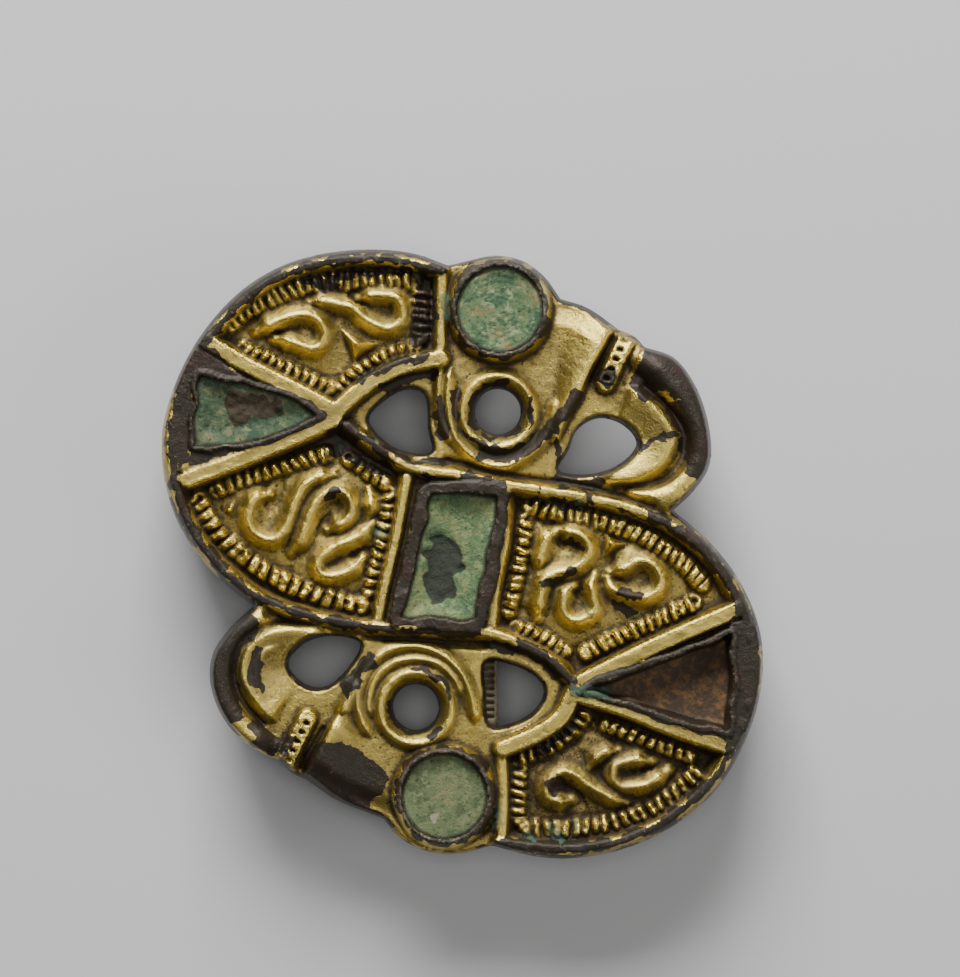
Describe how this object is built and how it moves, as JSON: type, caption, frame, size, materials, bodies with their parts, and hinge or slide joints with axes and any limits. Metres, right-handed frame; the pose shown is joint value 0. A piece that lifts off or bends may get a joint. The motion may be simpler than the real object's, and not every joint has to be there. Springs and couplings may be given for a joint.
{
  "type": "s-shaped fibula brooch with two bird heads",
  "caption": "S-shaped cast fibula with two bird-of-prey heads, chip-carved scroll panels, inlaid cells and a sprung pin behind; lies on its back, face up.",
  "frame": {"origin": "middle of the outline, on the surface that the brooch lies on", "axes": "+Z out of the decorated face, +Y towards the upper bird's eye, +X to the right of the face as it is read"},
  "size_m": [0.0395, 0.0401, 0.0077],
  "materials": {
    "gilt_bronze": "fire-gilt cast bronze, worn to dark metal on rims and high spots",
    "green_crust": "grainy green corrosion crust left on the backing of lost inlays",
    "rusted_iron": "dull brown rust skin"
  },
  "bodies": {
    "brooch": {"brooch_casting": "gilt_bronze", "upper_eye_inlay": "green_crust", "lower_eye_inlay": "green_crust", "left_cell_inlay": "green_crust", "centre_cell_inlay": "green_crust", "spring_axle": "rusted_iron"},
    "pin": {"spring_pin": "rusted_iron"}
  },
  "joints": [
    {"name": "pin_hinge", "type": "hinge", "parent": "brooch", "child": "pin", "pos_m": [-0.0025, 0.0135, 0.00215], "axis": [1, 0, 0], "range_deg": [0, 30], "stiffness_Nm_per_rad": 0.02}
  ]
}
